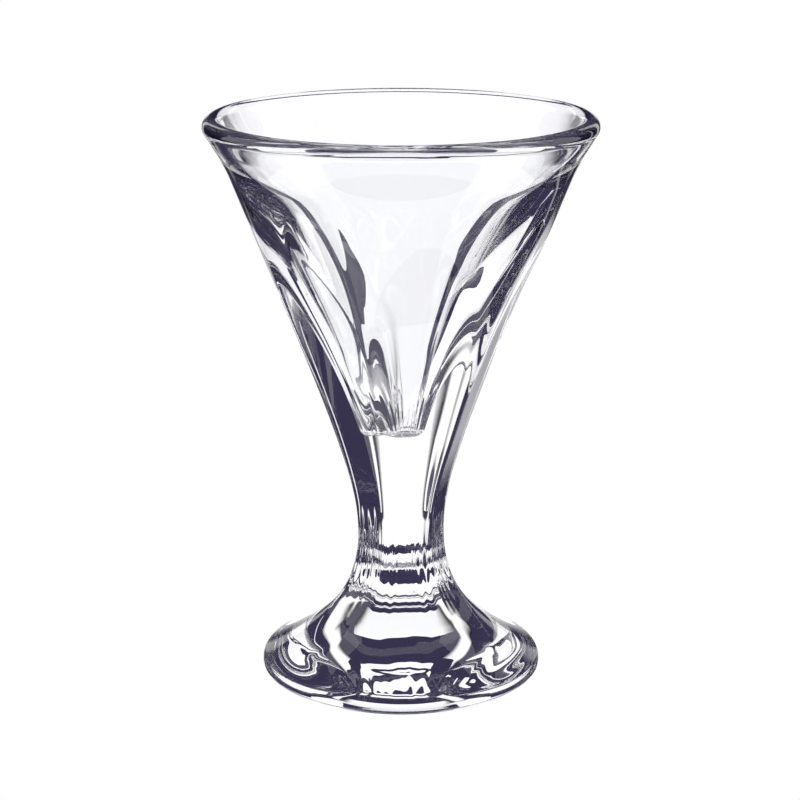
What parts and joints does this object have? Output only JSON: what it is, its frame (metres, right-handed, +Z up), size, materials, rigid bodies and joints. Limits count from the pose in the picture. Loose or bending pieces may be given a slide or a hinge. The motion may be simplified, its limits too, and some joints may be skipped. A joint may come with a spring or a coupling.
{
  "type": "parfait glass",
  "caption": "Tall flared dessert glass: thick conical bowl with a beaded rim and flat panels, solid waisted stem and low trumpet foot.",
  "frame": {"origin": "centre of the foot's base, on the surface the glass stands on", "axes": "+Z up along the glass's axis, -Y towards the viewer, +X to the viewer's right"},
  "size_m": [0.0902, 0.0902, 0.135],
  "materials": {
    "clear_glass": "fire-polished clear pressed glass"
  },
  "bodies": {
    "root": {"bowl": "clear_glass", "stem": "clear_glass", "foot": "clear_glass"}
  },
  "joints": []
}
